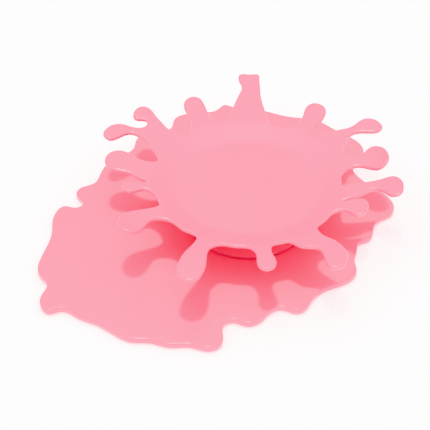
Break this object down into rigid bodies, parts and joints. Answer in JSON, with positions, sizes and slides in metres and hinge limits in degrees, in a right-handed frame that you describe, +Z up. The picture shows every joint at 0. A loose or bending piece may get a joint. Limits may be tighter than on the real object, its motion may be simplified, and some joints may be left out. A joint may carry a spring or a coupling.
{
  "type": "two-tier splash dish",
  "caption": "Shallow round bowl with liquid-splash arms that turns and lifts off on a short hollow pedestal above a thin puddle-shaped tray.",
  "frame": {"origin": "on the pedestal's axis, at the underside of the centre pad, which is the table's surface", "axes": "+Z up along the pedestal's axis, +Y towards the long blunt arm at the back, +X to the right"},
  "size_m": [0.1548, 0.1638, 0.0307],
  "materials": {
    "splash_plastic": "glossy moulded pink plastic",
    "pad_silicone": "satin translucent silicone",
    "grip_silicone": "satin silicone",
    "pivot_steel": "turned steel",
    "bush_acetal": "natural acetal",
    "insert_brass": "turned brass"
  },
  "bodies": {
    "tray": {"puddle_tray": "splash_plastic", "pivot_bush": "bush_acetal", "centre_pad": "pad_silicone", "foot_pad_1": "pad_silicone", "foot_pad_2": "pad_silicone", "foot_pad_3": "pad_silicone", "foot_pad_4": "pad_silicone", "foot_pad_5": "pad_silicone"},
    "stem": {"pedestal": "splash_plastic", "pivot_insert": "insert_brass", "pivot_screw": "pivot_steel", "pivot_washer": "pivot_steel"},
    "dish": {"splash_dish": "splash_plastic", "spigot": "splash_plastic", "grip_ring": "grip_silicone"}
  },
  "joints": [
    {"name": "dish_turn", "type": "hinge", "parent": "tray", "child": "stem", "pos_m": [0, 0, 0.007], "axis": [0, 0, 1], "continuous": true},
    {"name": "dish_lift", "type": "slide", "parent": "stem", "child": "dish", "axis": [0, 0, 1], "range_m": [0, 0.04]}
  ]
}
